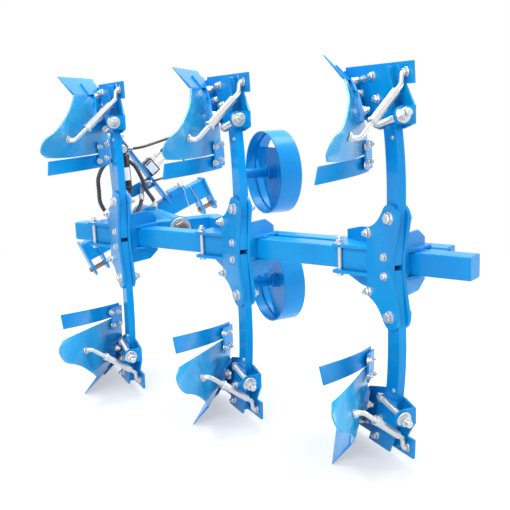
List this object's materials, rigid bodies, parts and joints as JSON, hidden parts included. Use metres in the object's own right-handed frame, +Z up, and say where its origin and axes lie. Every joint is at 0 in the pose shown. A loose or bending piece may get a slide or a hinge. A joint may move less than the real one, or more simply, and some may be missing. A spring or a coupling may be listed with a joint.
{
  "type": "reversible moldboard plough",
  "caption": "Mounted plough with pairs of opposed bodies on a slanted beam, turned over between furrows by a hydraulic cylinder, with depth wheels and a lower link headstock.",
  "frame": {"origin": "on the ground under the middle of the bounding box", "axes": "+Y is the direction of travel, +X its right-hand side, +Z up"},
  "size_m": [1.207, 2.0228, 1.366],
  "materials": {
    "blue_paint": "clean glossy enamel",
    "board_paint": "clean enamel, slightly duller",
    "zinc": "bright zinc plate",
    "black_paint": "black enamel",
    "hose_rubber": "satin black rubber"
  },
  "bodies": {
    "frame": {"frog_lower_front": "blue_paint", "frog_lower_middle": "blue_paint", "frog_lower_rear": "blue_paint", "frog_upper_front": "blue_paint", "frog_upper_middle": "blue_paint", "frog_upper_rear": "blue_paint", "landside_lower_front": "blue_paint", "landside_lower_middle": "blue_paint", "landside_lower_rear": "blue_paint", "landside_upper_front": "blue_paint", "landside_upper_middle": "blue_paint", "landside_upper_rear": "blue_paint", "leg_bracket_front": "blue_paint", "leg_bracket_middle": "blue_paint", "leg_bracket_rear": "blue_paint", "leg_lower_front": "blue_paint", "leg_lower_middle": "blue_paint", "leg_lower_rear": "blue_paint", "leg_upper_front": "blue_paint", "leg_upper_middle": "blue_paint", "leg_upper_rear": "blue_paint", "main_beam": "blue_paint", "moldboard_lower_front": "board_paint", "moldboard_lower_middle": "board_paint", "moldboard_lower_rear": "board_paint", "moldboard_upper_front": "board_paint", "moldboard_upper_middle": "board_paint", "moldboard_upper_rear": "board_paint", "share_lower_front": "blue_paint", "share_lower_middle": "blue_paint", "share_lower_rear": "blue_paint", "share_upper_front": "blue_paint", "share_upper_middle": "blue_paint", "share_upper_rear": "blue_paint", "side_beam": "blue_paint", "stay_lower_front": "zinc", "stay_lower_middle": "zinc", "stay_lower_rear": "zinc", "stay_upper_front": "zinc", "stay_upper_middle": "zinc", "stay_upper_rear": "zinc", "trash_board_lower_front": "blue_paint", "trash_board_lower_middle": "blue_paint", "trash_board_lower_rear": "blue_paint", "trash_board_upper_front": "blue_paint", "trash_board_upper_middle": "blue_paint", "trash_board_upper_rear": "blue_paint", "wheel_arm_lower": "blue_paint", "wheel_arm_upper": "blue_paint"},
    "headstock": {"headstock": "blue_paint", "turnover_shaft": "zinc", "valve_block": "black_paint", "hose_loop": "hose_rubber", "hose_lower": "hose_rubber", "hose_upper": "hose_rubber"},
    "wheel_upper": {"depth_wheel_upper": "blue_paint"},
    "wheel_lower": {"depth_wheel_lower": "blue_paint"},
    "barrel": {"cylinder_barrel": "black_paint"},
    "rod": {"cylinder_rod": "zinc"}
  },
  "joints": [
    {"name": "turnover", "type": "hinge", "parent": "frame", "child": "headstock", "pos_m": [0.03317, 0.71139, 0.683], "axis": [0, -1, 0], "range_deg": [-22.7, 157.3]},
    {"name": "cylinder_swing", "type": "hinge", "parent": "headstock", "child": "barrel", "pos_m": [-0.11541, 0.75939, 1.03818], "axis": [0, -1, 0], "range_deg": [-6, 40]},
    {"name": "rod_slide", "type": "slide", "parent": "barrel", "child": "rod", "axis": [0.0382, 0, -0.9993], "range_m": [-0.1045, 0.0155]},
    {"name": "wheel_spin_upper", "type": "hinge", "parent": "frame", "child": "wheel_upper", "pos_m": [0.39717, 0.17139, 0.928], "axis": [1, 0, 0], "continuous": true},
    {"name": "wheel_spin_lower", "type": "hinge", "parent": "frame", "child": "wheel_lower", "pos_m": [0.39717, 0.17139, 0.438], "axis": [1, 0, 0], "continuous": true}
  ],
  "couplings": [
    {"joint": "cylinder_swing", "follows": "turnover", "ratio": 0.253},
    {"joint": "rod_slide", "follows": "turnover", "m_per_rad": -0.038}
  ]
}
